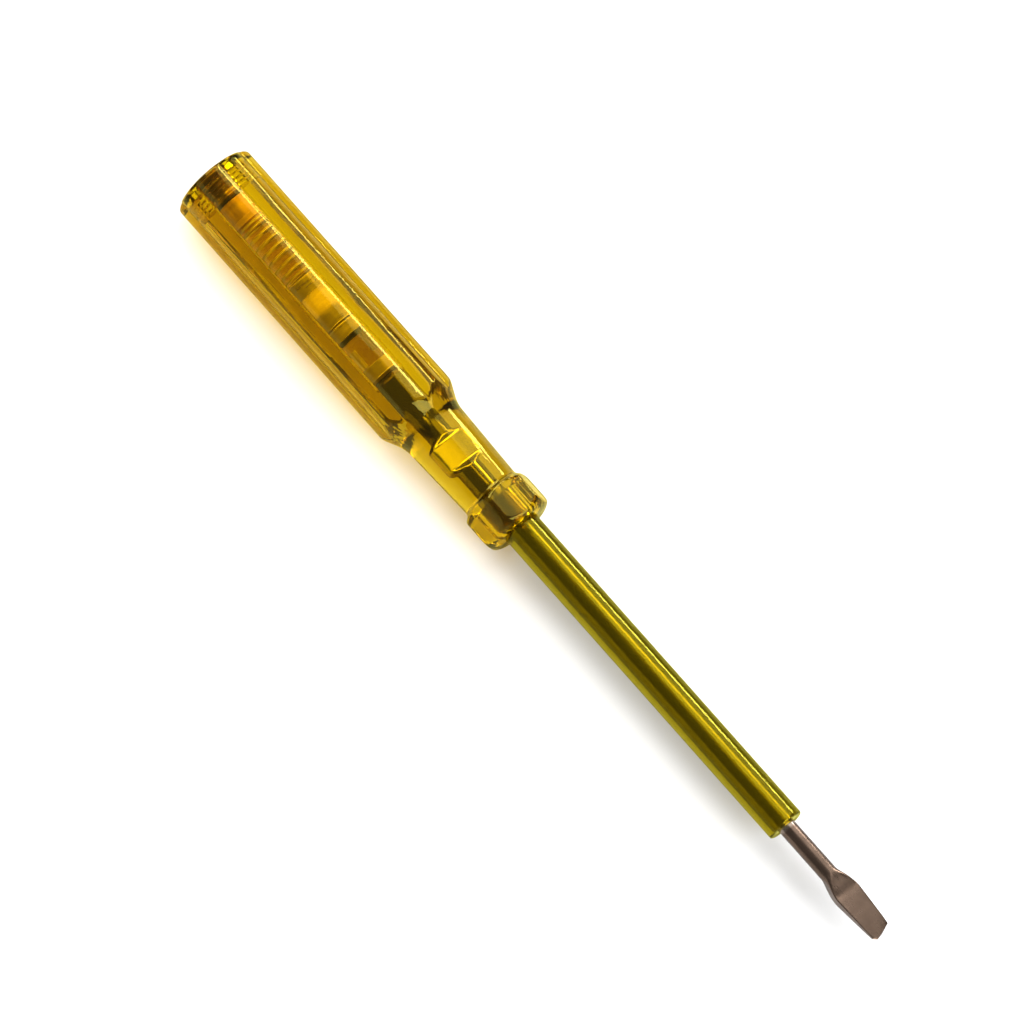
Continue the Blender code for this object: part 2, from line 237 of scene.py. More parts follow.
# Sets positions from place along the axis, radius and angle
def moveTo(tree, geometry, along, radius, angle):
    join = tree.nodes.new("ShaderNodeCombineXYZ")
    feed(tree, join.inputs[0], calc(tree, "MULTIPLY_ADD", along, mm, rearX))
    across = calc(tree, "MULTIPLY", radius, calc(tree, "COSINE", angle))
    up = calc(tree, "MULTIPLY", radius, calc(tree, "SINE", angle))
    feed(tree, join.inputs[1], calc(tree, "MULTIPLY", across, mm))
    feed(tree, join.inputs[2], calc(tree, "MULTIPLY_ADD", up, mm, axisZ))
    move = tree.nodes.new("GeometryNodeSetPosition")
    tree.links.new(geometry, move.inputs["Geometry"])
    tree.links.new(join.outputs[0], move.inputs["Position"])
    return move.outputs[0]


# Presses a turned body down to rounded lobes behind a place, and to flats in front of it
def makeOutlineTree():
    tree, groupIn, groupOut = newTree("lobesAndFlats", [
        ("Lobe Count", "Int", 8), ("Lobe Radius", "Float", 3.6), ("Crest Radius", "Float", 8.5),
        ("Valley Blend", "Float", 0.5), ("Flat Count", "Int", 6), ("Across Flats", "Float", 13.4),
        ("Edge Blend", "Float", 0.4), ("Flats From", "Float", 75), ("Material", "Material", None),
    ])
    value = groupIn.outputs
    along, radius, angle = polarOf(tree)
    fromBelow = calc(tree, "ADD", angle, math.pi / 2)      # a valley and a flat lie straight below
    half = calc(tree, "DIVIDE", math.pi, value["Lobe Count"])
    offValley = calc(tree, "ABSOLUTE", calc(tree, "WRAP", fromBelow, half, calc(tree, "MULTIPLY", half, -1)))
    centre = calc(tree, "SUBTRACT", value["Crest Radius"], value["Lobe Radius"])
    lobes = []
    for sign in (-1, 1):
        off = calc(tree, "MULTIPLY_ADD", offValley, sign, half)
        side = calc(tree, "MULTIPLY", centre, calc(tree, "SINE", off))
        inside = calc(tree, "SUBTRACT", calc(tree, "POWER", value["Lobe Radius"], 2),
                      calc(tree, "MULTIPLY", side, side))
        bulge = calc(tree, "SQRT", calc(tree, "MAXIMUM", inside, 0))
        lobes.append(calc(tree, "MULTIPLY_ADD", centre, calc(tree, "COSINE", off), bulge))
    lobed = calc(tree, "SMOOTH_MAX", lobes[0], lobes[1], value["Valley Blend"])
    halfFlat = calc(tree, "DIVIDE", math.pi, value["Flat Count"])
    offFlat = calc(tree, "WRAP", fromBelow, halfFlat, calc(tree, "MULTIPLY", halfFlat, -1))
    halfAcross = calc(tree, "DIVIDE", value["Across Flats"], 2)
    flats = calc(tree, "DIVIDE", halfAcross, calc(tree, "COSINE", offFlat))
    isFlats = calc(tree, "GREATER_THAN", along, value["Flats From"])
    both = calc(tree, "ADD", calc(tree, "MULTIPLY", flats, isFlats),
                calc(tree, "MULTIPLY", lobed, calc(tree, "SUBTRACT", 1, isFlats)))
    pressed = calc(tree, "SMOOTH_MIN", radius, both, value["Edge Blend"])
    finishTree(tree, moveTo(tree, value["Geometry"], along, pressed, angle), value["Material"], groupOut)
    return tree


# Raises a right-hand helical ridge on the points that lie at the core radius
def makeThreadTree():
    tree, groupIn, groupOut = newTree("screwThread", [
        ("Pitch", "Float", 1), ("Depth", "Float", 0.4), ("Root Width", "Float", 0.4),
        ("Crest Width", "Float", 0.2), ("Start", "Float", 0), ("End", "Float", 1),
        ("Run Out", "Float", 0.2), ("Core Radius", "Float", 3.6), ("Material", "Material", None),
    ])
    value = groupIn.outputs
    along, radius, angle = polarOf(tree)
    turns = calc(tree, "SUBTRACT", calc(tree, "DIVIDE", along, value["Pitch"]),
                 calc(tree, "DIVIDE", angle, math.tau))
    off = calc(tree, "MULTIPLY", calc(tree, "ABSOLUTE", calc(tree, "WRAP", turns, 0.5, -0.5)), value["Pitch"])
    rootHalf = calc(tree, "DIVIDE", value["Root Width"], 2)
    crestHalf = calc(tree, "DIVIDE", value["Crest Width"], 2)
    rise = calc(tree, "DIVIDE", calc(tree, "SUBTRACT", rootHalf, off),
                calc(tree, "SUBTRACT", rootHalf, crestHalf))
    rise = calc(tree, "MINIMUM", calc(tree, "MAXIMUM", rise, 0), 1)
    for gap in (calc(tree, "SUBTRACT", along, value["Start"]), calc(tree, "SUBTRACT", value["End"], along)):
        fade = calc(tree, "MINIMUM", calc(tree, "MAXIMUM", calc(tree, "DIVIDE", gap, value["Run Out"]), 0), 1)
        rise = calc(tree, "MULTIPLY", rise, fade)
    coreMargin = 0.02                                # mm that a point may lie off the core radius
    isCore = calc(tree, "COMPARE", radius, value["Core Radius"], coreMargin)
    raised = calc(tree, "MULTIPLY_ADD", calc(tree, "MULTIPLY", rise, isCore), value["Depth"], radius)
    finishTree(tree, moveTo(tree, value["Geometry"], along, raised, angle), value["Material"], groupOut)
    return tree


# Winds a compression spring with closed ends from a line of points
def makeCoilTree():
    tree, groupIn, groupOut = newTree("coilSpring", [
        ("Start", "Float", 0), ("Length", "Float", 10), ("Coil Radius", "Float", 2.5),
        ("Wire Radius", "Float", 0.25), ("Turns", "Float", 9), ("Closed Turns", "Float", 1),
        ("Turn Points", "Int", 32), ("Sides", "Int", 14), ("Material", "Material", None),
    ])
    value = groupIn.outputs
    count = calc(tree, "ADD", calc(tree, "MULTIPLY", value["Turns"], value["Turn Points"]), 1)
    line = tree.nodes.new("GeometryNodeMeshLine")
    tree.links.new(count, line.inputs["Count"])
    toCurve = tree.nodes.new("GeometryNodeMeshToCurve")
    tree.links.new(line.outputs[0], toCurve.inputs[0])
    index = tree.nodes.new("GeometryNodeInputIndex")
    turn = calc(tree, "DIVIDE", index.outputs[0], value["Turn Points"])
    openTurns = calc(tree, "SUBTRACT", value["Turns"], calc(tree, "MULTIPLY", value["Closed Turns"], 2))
    wire = calc(tree, "MULTIPLY", value["Wire Radius"], 2)
    closedShare = 1.04                               # a closed turn's rise over the wire's thickness
    closedRise = calc(tree, "MULTIPLY", wire, closedShare)
    closedLength = calc(tree, "MULTIPLY", calc(tree, "MULTIPLY", closedRise, value["Closed Turns"]), 2)
    free = calc(tree, "SUBTRACT", calc(tree, "SUBTRACT", value["Length"], wire), closedLength)
    openRise = calc(tree, "DIVIDE", free, openTurns)
    first = calc(tree, "MINIMUM", turn, value["Closed Turns"])
    lastFrom = calc(tree, "ADD", value["Closed Turns"], openTurns)
    last = calc(tree, "MAXIMUM", calc(tree, "SUBTRACT", turn, lastFrom), 0)
    middle = calc(tree, "SUBTRACT", calc(tree, "SUBTRACT", turn, first), last)
    rise = calc(tree, "ADD", calc(tree, "MULTIPLY", calc(tree, "ADD", first, last), closedRise),
                calc(tree, "MULTIPLY", middle, openRise))
    along = calc(tree, "ADD", calc(tree, "ADD", value["Start"], value["Wire Radius"]), rise)
    wound = moveTo(tree, toCurve.outputs[0], along, value["Coil Radius"],
                   calc(tree, "MULTIPLY", turn, math.tau))
    circle = tree.nodes.new("GeometryNodeCurvePrimitiveCircle")
    tree.links.new(value["Sides"], circle.inputs["Resolution"])
    tree.links.new(calc(tree, "MULTIPLY", value["Wire Radius"], mm), circle.inputs["Radius"])
    sweep = tree.nodes.new("GeometryNodeCurveToMesh")
    tree.links.new(wound, sweep.inputs["Curve"])
    tree.links.new(circle.outputs[0], sweep.inputs["Profile Curve"])
    sweep.inputs["Fill Caps"].default_value = True
    finishTree(tree, sweep.outputs[0], value["Material"], groupOut)
    return tree


outlineTree, threadTree, coilTree = makeOutlineTree(), makeThreadTree(), makeCoilTree()
print("geometry trees ready")


# Shared surface effects

def newEffect(name, inputs, outputs):
    group = bpy.data.node_groups.new(name, "ShaderNodeTree")
    for label, kind, value in inputs:
        socket = group.interface.new_socket(label, in_out="INPUT", socket_type="NodeSocket" + kind)
        socket.default_value = value
    for label, kind in outputs:
        group.interface.new_socket(label, in_out="OUTPUT", socket_type="NodeSocket" + kind)
    return group, group.nodes.new("NodeGroupInput"), group.nodes.new("NodeGroupOutput")


# Noise on Object coordinates. A bigger stretch value makes it finer that way
def noiseAt(tree, scale, stretch=(1, 1, 1), detail=4, roughness=0.55, shift=0):
    coords = tree.nodes.new("ShaderNodeTexCoord")
    mapping = tree.nodes.new("ShaderNodeMapping")
    feed(tree, mapping.inputs["Scale"], stretch)
    mapping.inputs["Location"].default_value = (shift, shift, shift)
    noise = tree.nodes.new("ShaderNodeTexNoise")
    tree.links.new(coords.outputs["Object"], mapping.inputs["Vector"])
    tree.links.new(mapping.outputs[0], noise.inputs["Vector"])
    feed(tree, noise.inputs["Scale"], scale)
    noise.inputs["Detail"].default_value = detail
    noise.inputs["Roughness"].default_value = roughness
    return noise.outputs["Fac"]


def rangeOf(tree, value, fromLow, fromHigh, toLow, toHigh):
    node = tree.nodes.new("ShaderNodeMapRange")
    for socket, number in zip(node.inputs, (value, fromLow, fromHigh, toLow, toHigh)):
        feed(tree, socket, number)
    return node.outputs[0]


# Plastic that hands have rubbed: smears and fine lengthwise marks over the moulding's slow ripples
def makeHandledEffect():
    group, groupIn, groupOut = newEffect("handledSurface", [
        ("Clean Roughness", "Float", 0.05), ("Rubbed Roughness", "Float", 0.2), ("Rub Scale", "Float", 900),
        ("Rub Height", "Float", 0.06), ("Ripple Scale", "Float", 280),
    ], [("Roughness", "Float"), ("Height", "Float")])
    smearScale, lengthwise = 160, (0.06, 1, 1)       # rubs and ripples run along the tool
    smears = noiseAt(group, smearScale, (0.5, 1, 1))
    rubs = noiseAt(group, groupIn.outputs["Rub Scale"], lengthwise, detail=6, shift=0.3)
    mask = calc(group, "MULTIPLY", rangeOf(group, smears, 0.42, 0.7, 0, 1),
                rangeOf(group, rubs, 0.4, 0.75, 0.2, 1))
    gain = calc(group, "SUBTRACT", groupIn.outputs["Rubbed Roughness"], groupIn.outputs["Clean Roughness"])
    rough = calc(group, "MULTIPLY_ADD", mask, gain, groupIn.outputs["Clean Roughness"])
    ripple = noiseAt(group, groupIn.outputs["Ripple Scale"], lengthwise, detail=2)
    feed(group, groupOut.inputs["Roughness"], rough)
    feed(group, groupOut.inputs["Height"], calc(
        group, "MULTIPLY_ADD", rubs, groupIn.outputs["Rub Height"], ripple))
    return group


# Metal with fine marks and dull patches. Dulled says where the patches are
def makeMarkedEffect():
    group, groupIn, groupOut = newEffect("markedMetal", [
        ("Mark Scale", "Float", 1500), ("Mark Stretch", "Vector", (1, 1, 1)), ("Patch Scale", "Float", 400),
        ("Bright Roughness", "Float", 0.2), ("Mark Roughness", "Float", 0.1),
        ("Dull Roughness", "Float", 0.1),
    ], [("Dulled", "Float"), ("Roughness", "Float"), ("Height", "Float")])
    marks = noiseAt(group, groupIn.outputs["Mark Scale"], groupIn.outputs["Mark Stretch"], detail=5)
    patches = noiseAt(group, groupIn.outputs["Patch Scale"], detail=3, shift=0.7)
    dulled = rangeOf(group, patches, 0.35, 0.7, 0, 1)
    marked = calc(group, "MULTIPLY_ADD", rangeOf(group, marks, 0.3, 0.7, 0, 1),
                  groupIn.outputs["Mark Roughness"], groupIn.outputs["Bright Roughness"])
    feed(group, groupOut.inputs["Dulled"], dulled)
    feed(group, groupOut.inputs["Roughness"], calc(
        group, "MULTIPLY_ADD", dulled, groupIn.outputs["Dull Roughness"], marked))
    feed(group, groupOut.inputs["Height"], marks)
    return group


# Place on the tool in metres: along it from the rear face, and out from its axis
def makePlaceOnTool():
    group, groupIn, groupOut = newEffect("placeOnTool", [
        ("Rear Face", "Float", rearX), ("Axis Height", "Float", axisZ),
    ], [("Along", "Float"), ("From Axis", "Float")])
    coords, parts = group.nodes.new("ShaderNodeTexCoord"), group.nodes.new("ShaderNodeSeparateXYZ")
    group.links.new(coords.outputs["Object"], parts.inputs[0])
    up = calc(group, "SUBTRACT", parts.outputs[2], groupIn.outputs["Axis Height"])
    square = calc(group, "ADD", calc(group, "MULTIPLY", parts.outputs[1], parts.outputs[1]),
                  calc(group, "MULTIPLY", up, up))
    feed(group, groupOut.inputs["Along"], calc(
        group, "SUBTRACT", parts.outputs[0], groupIn.outputs["Rear Face"]))
    feed(group, groupOut.inputs["From Axis"], calc(group, "SQRT", square))
    return group


handledSurface, markedMetal, placeOnTool = makeHandledEffect(), makeMarkedEffect(), makePlaceOnTool()


def placeEffect(tree, group, **values):
    node = tree.nodes.new("ShaderNodeGroup")
    node.node_tree = group
    for label, value in values.items():
        feed(tree, node.inputs[label], value)
    return node


def newMaterial(name):
    material = bpy.data.materials.new(name)
    material.use_nodes = True
    tree = material.node_tree
    return material, tree, tree.nodes["Principled BSDF"]


def bumpFrom(tree, shader, height, distance, strength=1):
    bump = tree.nodes.new("ShaderNodeBump")
    bump.inputs["Strength"].default_value = strength
    bump.inputs["Distance"].default_value = distance
    feed(tree, bump.inputs["Height"], height)
    tree.links.new(bump.outputs[0], shader.inputs["Normal"])


def mixColours(tree, share, first, second):
    node = tree.nodes.new("ShaderNodeMix")
    node.data_type = "RGBA"
    feed(tree, node.inputs["Factor"], share)
    feed(tree, node.inputs[6], first)
    feed(tree, node.inputs[7], second)
    return node.outputs[2]


# Clear moulding: its surface tints the light, and the depth of plastic that it crosses adds to that
def clearPlastic(name, look):
    material, tree, shader = newMaterial(name)
    shader.inputs["IOR"].default_value = look["ior"]
    shader.inputs["Transmission Weight"].default_value = 1
    shader.inputs["Base Color"].default_value = (*look["surface"], 1)
    shader.inputs["Specular Tint"].default_value = (*look["sheen"], 1)
    worn = placeEffect(tree, handledSurface, **{
        "Clean Roughness": look["clean"], "Rubbed Roughness": look["rubbed"], "Rub Scale": look["rubScale"],
        "Rub Height": look["rubHeight"], "Ripple Scale": look["rippleScale"]})
    place = placeEffect(tree, placeOnTool)
    isBore = calc(tree, "LESS_THAN", place.outputs["From Axis"], look["boreRadius"] * mm)
    feed(tree, shader.inputs["Roughness"], calc(
        tree, "MAXIMUM", worn.outputs["Roughness"], calc(tree, "MULTIPLY", isBore, look["boreRoughness"])))
    bumpFrom(tree, shader, worn.outputs["Height"], look["rippleDepth"])
    tinted = tree.nodes.new("ShaderNodeBsdfGlass")
    tinted.inputs["IOR"].default_value = look["ior"]
    tinted.inputs["Color"].default_value = (*[value ** 0.5 for value in look["surface"]], 1)
    tree.links.new(shader.inputs["Roughness"].links[0].from_socket, tinted.inputs["Roughness"])
    tree.links.new(shader.inputs["Normal"].links[0].from_socket, tinted.inputs["Normal"])
    blended = tree.nodes.new("ShaderNodeMixShader")
    blended.inputs[0].default_value = look["tintShare"]
    tree.links.new(shader.outputs[0], blended.inputs[1])
    tree.links.new(tinted.outputs[0], blended.inputs[2])
    # Shadow rays pass straight through, so that the parts inside and the floor behind are lit
    rays, passing, lit = (tree.nodes.new(kind) for kind in (
        "ShaderNodeLightPath", "ShaderNodeBsdfTransparent", "ShaderNodeMixShader"))
    passing.inputs["Color"].default_value = (*look["passing"], 1)
    tree.links.new(rays.outputs["Is Shadow Ray"], lit.inputs[0])
    tree.links.new(blended.outputs[0], lit.inputs[1])
    tree.links.new(passing.outputs[0], lit.inputs[2])
    tree.links.new(lit.outputs[0], tree.nodes["Material Output"].inputs["Surface"])
    depth = tree.nodes.new("ShaderNodeVolumeAbsorption")
    depth.inputs["Color"].default_value = (*look["absorb"], 1)
    depth.inputs["Density"].default_value = look["density"]
    tree.links.new(depth.outputs[0], tree.nodes["Material Output"].inputs["Volume"])
    return material


# Bare or plated metal with lengthwise or turned marks and dull patches
def metal(name, look):
    material, tree, shader = newMaterial(name)
    shader.inputs["Metallic"].default_value = 1
    marked = placeEffect(tree, markedMetal, **{
        "Mark Scale": look["markScale"], "Mark Stretch": look["markStretch"],
        "Patch Scale": look["patchScale"], "Bright Roughness": look["roughness"],
        "Mark Roughness": look["markRoughness"], "Dull Roughness": look["dullRoughness"]})
    feed(tree, shader.inputs["Base Color"], mixColours(
        tree, marked.outputs["Dulled"], (*look["colour"], 1), (*look["dull"], 1)))
    feed(tree, shader.inputs["Roughness"], marked.outputs["Roughness"])
    bumpFrom(tree, shader, marked.outputs["Height"], look["markDepth"])
    return material


# Gives the metal behind a place along the tool another colour, roughness and share of its marks,
# with a soft change from last to first. It sets the stud's turned face, and on the blade it paints highlight
# and shade into the steel's colour
def recolourFinishAndLight(material, last, first, colour, roughness, markShare):
    tree = material.node_tree
    shader = tree.nodes["Principled BSDF"]
    place = placeEffect(tree, placeOnTool)
    ahead = rangeOf(tree, place.outputs["Along"], last * mm, first * mm, 0, 1)
    bump = shader.inputs["Normal"].links[0].from_node
    usual, rough, marks = (socket.links[0].from_socket for socket in (
        shader.inputs["Base Color"], shader.inputs["Roughness"], bump.inputs["Height"]))
    feed(tree, shader.inputs["Base Color"], mixColours(tree, ahead, colour, usual))
    kept = rangeOf(tree, ahead, 0, 1, markShare, 1)
    feed(tree, shader.inputs["Roughness"], calc(
        tree, "MULTIPLY_ADD", calc(tree, "SUBTRACT", rough, roughness), kept, roughness))
    feed(tree, bump.inputs["Height"], calc(tree, "MULTIPLY", marks, kept))


# Handle: clear amber moulding

grip = {
    "gripLimit": 9.2, "rearRound": 1.1, "shoulderFrom": 55.6, "shoulderLength": 9.0,
    "neckRear": 6.4, "neckFront": 5.9, "collarFrom": 80.3, "collarRearBevel": 1.5, "collarRadius": 7.6,
    "frontBevel": 2.4, "lipWall": 1.0, "gripRadius": 8.5, "lobeRadius": 3.6, "lobes": 8, "valleyBlend": 0.5,
    "acrossFlats": 13.4, "flats": 6, "edgeBlend": 0.4, "cellBore": 3.4, "boreFloor": 52.0,
    "headBore": 5.4, "headDepth": 1.8, "threadBore": 3.8, "threadEnd": 5.5, "sleeveFit": 0.04,
    "steelCore": 0.6, "segments": 240, "arcSteps": 8, "shoulderSteps": 18, "threadLead": 1.0,
    "threadRunOut": 0.1, "faceEdge": 0.2, "neckFillet": 0.8, "bevelEdge": 0.6, "socketEdge": 0.2,
    "floorFillet": 0.3, "threadEdge": 0.1, "headEdge": 0.15, "mouthEdge": 0.25,
}
thread = {"pitch": 1.0, "depth": 0.4, "rootWidth": 0.4, "crestWidth": 0.2, "gap": 0.2, "ringEvery": 0.06}
amberLook = {
    "ior": 1.47, "surface": (0.71, 0.508, 0.002), "sheen": (1.0, 0.88, 0.6), "tintShare": 0.82,
    "passing": (0.94, 0.87, 0.84),
    "boreRadius": 4.0, "boreRoughness": 0.1, "clean": 0.02, "rubbed": 0.14, "rubScale": 900,
    "rippleScale": 420, "rippleDepth": 0.0002, "rubHeight": 0.06,
    "absorb": (0.978, 0.973, 0.95), "density": 1250,
}


def makeHandle():
    amber = clearPlastic("amberPlastic", amberLook)
    length = spanOf("handle")[1]
    sleeveRadius = reachOf("blade_sleeve") + grip["sleeveFit"]
    sleeveRear = spanOf("blade_sleeve")[0]
    faceRadius = grip["gripRadius"] - grip["rearRound"]
    outline = [(0, faceRadius, grip["faceEdge"])]
    for step in range(1, grip["arcSteps"] + 1):
        turn = math.pi / 2 * step / grip["arcSteps"]
        outline.append((2 * grip["rearRound"] * (1 - math.cos(turn)),
                        faceRadius + (grip["gripLimit"] - faceRadius) * math.sin(turn)))
    for step in range(grip["shoulderSteps"] + 1):
        share = step / grip["shoulderSteps"]
        ease = (1 - math.cos(math.pi * share)) / 2
        outline.append((grip["shoulderFrom"] + grip["shoulderLength"] * share,
                        grip["gripLimit"] + (grip["neckRear"] - grip["gripLimit"]) * ease))
    outline += [(grip["collarFrom"], grip["neckFront"], grip["neckFillet"]),
                (grip["collarFrom"] + grip["collarRearBevel"], grip["collarRadius"], grip["bevelEdge"])]
    lip = sleeveRadius + grip["lipWall"]
    for step in range(grip["arcSteps"] + 1):
        turn = math.pi / 2 * step / grip["arcSteps"]
        outline.append((length - grip["frontBevel"] * (1 - math.sin(turn)),
                        lip + (grip["collarRadius"] - lip) * math.cos(turn)))
    outline += [(length, sleeveRadius, grip["socketEdge"]), (sleeveRear, sleeveRadius, grip["socketEdge"]),
                (sleeveRear, grip["steelCore"]), (grip["boreFloor"], grip["steelCore"]),
                (grip["boreFloor"], grip["cellBore"], grip["floorFillet"]),
                (grip["threadEnd"], grip["cellBore"], grip["threadEdge"]),
                (grip["threadEnd"], grip["threadBore"])]
    rings = int((grip["threadEnd"] - grip["headDepth"]) / thread["ringEvery"])
    for step in range(1, rings):
        along = grip["threadEnd"] + (grip["headDepth"] - grip["threadEnd"]) * step / rings
        outline.append((along, grip["threadBore"]))
    outline += [(grip["headDepth"], grip["threadBore"]),
                (grip["headDepth"], grip["headBore"], grip["headEdge"]),
                (0, grip["headBore"], grip["mouthEdge"])]
    body = turned("handleBody", roundCorners(outline, True), grip["segments"], True)
    flatsFrom = (grip["shoulderFrom"] + grip["shoulderLength"] + grip["collarFrom"]) / 2
    body = runTree(body, outlineTree, {
        "Lobe Count": grip["lobes"], "Lobe Radius": grip["lobeRadius"], "Crest Radius": grip["gripRadius"],
        "Valley Blend": grip["valleyBlend"], "Flat Count": grip["flats"], "Across Flats": grip["acrossFlats"],
        "Edge Blend": grip["edgeBlend"], "Flats From": flatsFrom, "Material": amber})
    body = runTree(body, threadTree, {
        "Pitch": thread["pitch"], "Depth": thread["depth"],
        "Root Width": thread["rootWidth"] + 2 * thread["gap"],
        "Crest Width": thread["crestWidth"] + 2 * thread["gap"],
        "Start": grip["headDepth"] - grip["threadLead"], "End": grip["threadEnd"],
        "Run Out": grip["threadRunOut"], "Core Radius": grip["threadBore"], "Material": amber})
    addPiece("handleMoulding", body, amber, "handle", "amber_plastic", "handle")


makeHandle()
print("handle moulded")


# End plug: threaded amber moulding with a slotted metal stud

plug = {"headRadius": 5.2, "headLength": 1.6, "edge": 0.35, "core": 3.6, "relief": 0.5, "studHole": 1.62,
        "pocketRadius": 2.64, "pocketDepth": 0.82, "threadOverlap": 0.2, "threadRunOut": 0.3,
        "pocketEdge": 0.1, "underEdge": 0.15, "segments": 160}
plugLook = dict(amberLook, rubScale=1400)
stud = {"headRadius": 2.6, "headLength": 0.8, "radius": 1.6, "slotWidth": 0.8, "slotDepth": 0.5,
        "cutterPast": 1, "edge": 0.12, "underEdge": 0.1, "endEdge": 0.15, "segments": 128}
nickelLook = {
    "colour": (0.86, 0.82, 0.72), "dull": (0.62, 0.57, 0.48), "roughness": 0.2, "markRoughness": 0.14,
    "dullRoughness": 0.15, "markScale": 1500, "markStretch": (1, 0.12, 0.12), "patchScale": 420,
    "markDepth": 0.00001,
}
studLook = dict(nickelLook, colour=(0.10, 0.085, 0.06), dull=(0.06, 0.05, 0.035), roughness=0.3,
                face=(0.34, 0.31, 0.26), faceRing=(0.17, 0.15, 0.12), faceRoughness=0.34, ringScale=4000,
                faceEdge=(0.1, 0.3))


def makePlug():
    amber = clearPlastic("amberPlugPlastic", plugLook)
    end = spanOf("end_plug")[1]
    outline = [(0, plug["pocketRadius"], plug["pocketEdge"]), (0, plug["headRadius"], plug["edge"]),
               (plug["headLength"], plug["headRadius"], plug["underEdge"]),
               (plug["headLength"], plug["core"])]
    rings = int((end - plug["headLength"]) / thread["ringEvery"])
    for step in range(1, rings):
        outline.append((plug["headLength"] + (end - plug["headLength"]) * step / rings, plug["core"]))
    outline += [(end, plug["core"]), (end, plug["studHole"]), (plug["pocketDepth"], plug["studHole"]),
                (plug["pocketDepth"], plug["pocketRadius"])]
    body = turned("plugBody", roundCorners(outline, True), plug["segments"], True)
    body = runTree(body, threadTree, {
        "Pitch": thread["pitch"], "Depth": thread["depth"], "Root Width": thread["rootWidth"],
        "Crest Width": thread["crestWidth"],
        "Start": plug["headLength"] + plug["relief"] - plug["threadOverlap"],
        "End": end - plug["relief"] + plug["threadOverlap"],
        "Run Out": plug["threadRunOut"], "Core Radius": plug["core"], "Material": amber})
    addPiece("plugMoulding", body, amber, "end_plug", "amber_plastic", "end_plug")


def makeStud():
    nickel = metal("studNickel", studLook)
    tree = nickel.node_tree
    rings = tree.nodes.new("ShaderNodeTexNoise")
    rings.noise_dimensions = "1D"
    rings.inputs["Scale"].default_value = studLook["ringScale"]
    feed(tree, rings.inputs["W"], placeEffect(tree, placeOnTool).outputs["From Axis"])
    turnedFace = mixColours(tree, rangeOf(tree, rings.outputs["Fac"], 0.35, 0.65, 0, 1),
                            (*studLook["face"], 1), (*studLook["faceRing"], 1))
    recolourFinishAndLight(nickel, *studLook["faceEdge"], turnedFace, studLook["faceRoughness"], 1)
    end = spanOf("touch_stud")[1]
    outline = [(0, 0), (0, stud["headRadius"], stud["edge"]),
               (stud["headLength"], stud["headRadius"], stud["underEdge"]),
               (stud["headLength"], stud["radius"]), (end, stud["radius"], stud["endEdge"]), (end, 0)]
    body = turned("studBody", roundCorners(outline), stud["segments"])
    past, depth = stud["cutterPast"], stud["slotDepth"]
    reach, half = stud["headRadius"] + past, stud["slotWidth"] / 2
    corners = ((-1, -1), (1, -1), (1, 1), (-1, 1))
    slot = skinRings("driverSlot", [
        [(along, 0, 0)] if middle else [(along, side * reach, rise * half) for side, rise in corners]
        for along, middle in ((-past, True), (-past, False), (depth, False), (depth, True))])
    body = cutAway(body, slot)
    addPiece("studHead", body, nickel, "end_plug", "nickel", "touch_stud")


makePlug()
makeStud()
print("plug and stud made")


# Contact slug and spring

slug = {"radius": 2.0, "flangeRadius": 2.8, "flangeLength": 1.1, "spigotRadius": 1.8, "spigotLength": 0.8,
        "spigotTaper": 0.15, "rearEdge": 0.2, "edge": 0.15, "spigotRoot": 0.1, "segments": 96}
brassLook = dict(nickelLook, colour=(0.90, 0.68, 0.30), dull=(0.62, 0.44, 0.16), roughness=0.3)
coil = {"radius": 2.52, "wire": 0.25, "turns": 9, "closedTurns": 1, "turnPoints": 32, "sides": 14}
springLook = dict(nickelLook, colour=(0.66, 0.62, 0.54), dull=(0.40, 0.36, 0.30), roughness=0.28,
                  markStretch=(1, 1, 1))


def makeSlug():
    brass = metal("slugBrass", brassLook)
    start, end = spanOf("contact_slug")
    flangeFront = end - slug["spigotLength"]
    flangeRear = flangeFront - slug["flangeLength"]
    radius, flange, edge = slug["radius"], slug["flangeRadius"], slug["edge"]
    outline = [(start, 0), (start, radius, slug["rearEdge"]), (flangeRear, radius, edge),
               (flangeRear, flange, edge), (flangeFront, flange, edge),
               (flangeFront, slug["spigotRadius"], slug["spigotRoot"]),
               (end, slug["spigotRadius"] - slug["spigotTaper"], edge), (end, 0)]
    addPiece("brassSlug", turned("brassSlug", roundCorners(outline), slug["segments"]), brass,
             "contact_slug", "brass", "contact_slug")


def makeSpring():
    steel = metal("springWire", springLook)
    start, end = spanOf("contact_spring")
    seed = bpy.data.meshes.new("springSeed")
    seed.from_pydata([(0, 0, 0)], [], [])
    body = runTree(seed, coilTree, {
        "Start": start, "Length": end - start, "Coil Radius": coil["radius"], "Wire Radius": coil["wire"],
        "Turns": coil["turns"], "Closed Turns": coil["closedTurns"], "Turn Points": coil["turnPoints"],
        "Sides": coil["sides"], "Material": steel})
    piece = bpy.data.objects.new("contactSpring", body)
    bpy.context.scene.collection.objects.link(piece)
    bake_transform(piece)
    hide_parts("contact_spring")


makeSlug()
makeSpring()
print("slug and spring made")


# Resistor and lamp

cell = {"endWall": 0.5, "edge": 0.3, "lipEdge": 0.08, "floorEdge": 0.1, "fit": 0.05, "rodEdge": 0.3,
        "electrodeEdge": 0.1, "leadEdge": 0.03, "segments": 96, "leadSegments": 24}
glassPiece = {"wall": 0.4, "round": 0.8, "hole": 1.0}
ceramicLook = {"pale": (0.78, 0.70, 0.52), "dark": (0.62, 0.53, 0.36), "grainScale": 1800,
               "grainDepth": 0.00002}
glassLook = {"ior": 1.5, "colour": (0.97, 0.97, 0.95), "patchScale": 700, "patchRoughness": 0.08}


